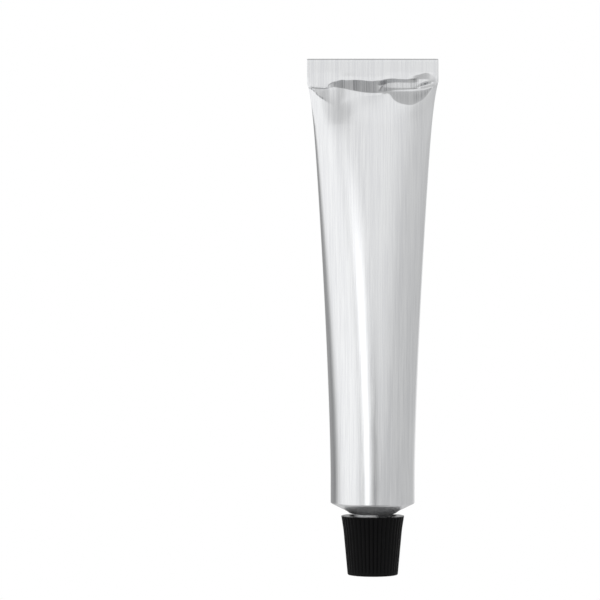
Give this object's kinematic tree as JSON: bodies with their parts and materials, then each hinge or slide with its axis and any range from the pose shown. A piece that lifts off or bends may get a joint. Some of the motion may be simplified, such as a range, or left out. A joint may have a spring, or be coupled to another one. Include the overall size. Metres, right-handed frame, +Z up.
{
  "type": "cuticle oil tube",
  "caption": "Slim collapsible aluminium tube of cuticle oil with a flat folded end and a ribbed black screw cap, standing on its cap.",
  "frame": {"origin": "middle of the cap's end face, on the axis of the tube and the cap, where the tube stands", "axes": "+Z up from the cap to the folded end, +Y towards the back of the fold, so the smooth front faces -Y, +X along the fold"},
  "size_m": [0.0296, 0.019, 0.1164],
  "materials": {
    "satin_aluminium": "satin, with fine streaks along the tube",
    "membrane_aluminium": "bare foil",
    "golden_oil": "clear golden oil",
    "white_foam": "fine white foam",
    "black_polypropylene": "satin moulded polypropylene"
  },
  "bodies": {
    "tube": {"tube_body": "satin_aluminium", "nozzle_membrane": "membrane_aluminium", "oil_fill": "golden_oil"},
    "liner": {"cap_liner": "white_foam"},
    "cap": {"cap_shell": "black_polypropylene"}
  },
  "joints": [
    {"name": "cap_lift", "type": "slide", "parent": "tube", "child": "liner", "axis": [0, 0, -1], "range_m": [0, 0.00688]},
    {"name": "cap_turn", "type": "hinge", "parent": "liner", "child": "cap", "pos_m": [0, 0, 0], "axis": [0, 0, -1], "range_deg": [0, 1980]}
  ],
  "couplings": [
    {"joint": "cap_turn", "follows": "cap_lift", "rad_per_m": 5026.5}
  ]
}
